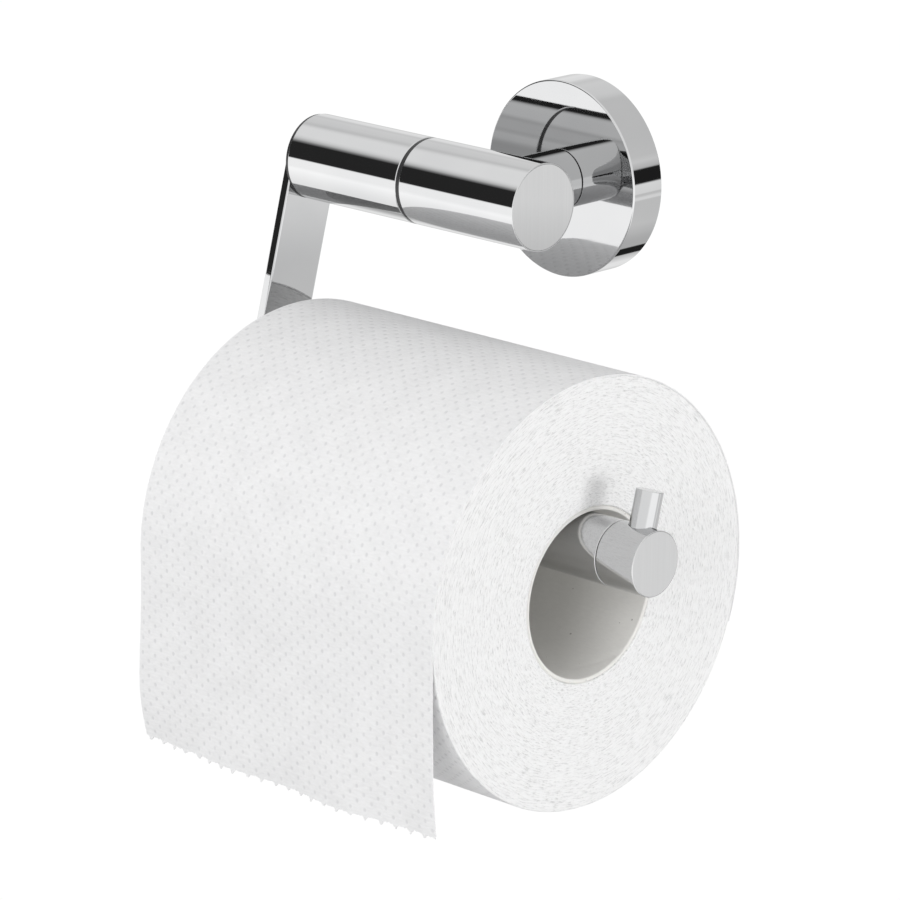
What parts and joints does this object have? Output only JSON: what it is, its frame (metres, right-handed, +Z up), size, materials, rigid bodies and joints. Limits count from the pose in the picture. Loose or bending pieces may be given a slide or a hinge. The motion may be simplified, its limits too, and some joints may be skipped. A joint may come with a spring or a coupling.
{
  "type": "toilet paper holder",
  "caption": "Chrome toilet paper holder for a wall: a rosette and post carry a tube whose outer half swivels with a flat arm and an open spindle, holding a paper roll.",
  "frame": {"origin": "centre of the wall bracket's back face, on the wall plane", "axes": "+Y points into the wall, +Z up, +X along the wall towards the free end of the spindle"},
  "size_m": [0.1362, 0.1078, 0.162],
  "materials": {
    "polished_chrome": "polished",
    "satin_chrome": "satin",
    "zinc_casting": "matte",
    "plain_steel": "satin",
    "black_ring": "satin",
    "nylon": "matte",
    "cardboard": "matte",
    "tissue_roll": "matte",
    "tissue_sheet": "matte"
  },
  "bodies": {
    "wall_mount": {"wall_bracket": "zinc_casting", "rosette_cover": "polished_chrome", "rosette_set_screw": "plain_steel", "post": "polished_chrome", "post_dowel": "plain_steel", "post_bolt": "plain_steel", "fixed_tube": "polished_chrome", "fixed_end_cap": "satin_chrome", "pivot_bar": "plain_steel", "centre_ring": "black_ring", "thrust_washer": "plain_steel", "disc_spring": "plain_steel", "lock_nut": "plain_steel"},
    "swing_arm": {"swivel_tube": "polished_chrome", "bushing_near": "nylon", "bushing_far": "nylon", "swivel_plug": "plain_steel", "arm_washer": "black_ring", "arm": "polished_chrome", "arm_stud_upper": "plain_steel", "arm_stud_lower": "plain_steel", "spindle_tube": "polished_chrome", "spindle_root_plug": "plain_steel", "spindle_tip_plug": "plain_steel", "knob_stud": "plain_steel", "spindle_knob": "satin_chrome", "stop_pin": "polished_chrome"},
    "paper_sheet": {"paper_sheet": "tissue_sheet"},
    "paper_roll": {"paper_roll": "tissue_roll", "roll_core": "cardboard"}
  },
  "joints": [
    {"name": "arm_swing", "type": "hinge", "parent": "wall_mount", "child": "swing_arm", "pos_m": [-0.04, -0.035, 0], "axis": [-1, 0, 0], "range_deg": [0, 90]},
    {"name": "roll_hang", "type": "hinge", "parent": "swing_arm", "child": "paper_sheet", "pos_m": [0.0031, -0.05457, -0.07261], "axis": [-1, 0, 0], "range_deg": [-90, 0]},
    {"name": "roll_spin", "type": "hinge", "parent": "paper_sheet", "child": "paper_roll", "pos_m": [0.0031, -0.05457, -0.08486], "axis": [1, 0, 0], "continuous": true}
  ],
  "couplings": [
    {"joint": "roll_hang", "follows": "arm_swing", "ratio": -1}
  ]
}
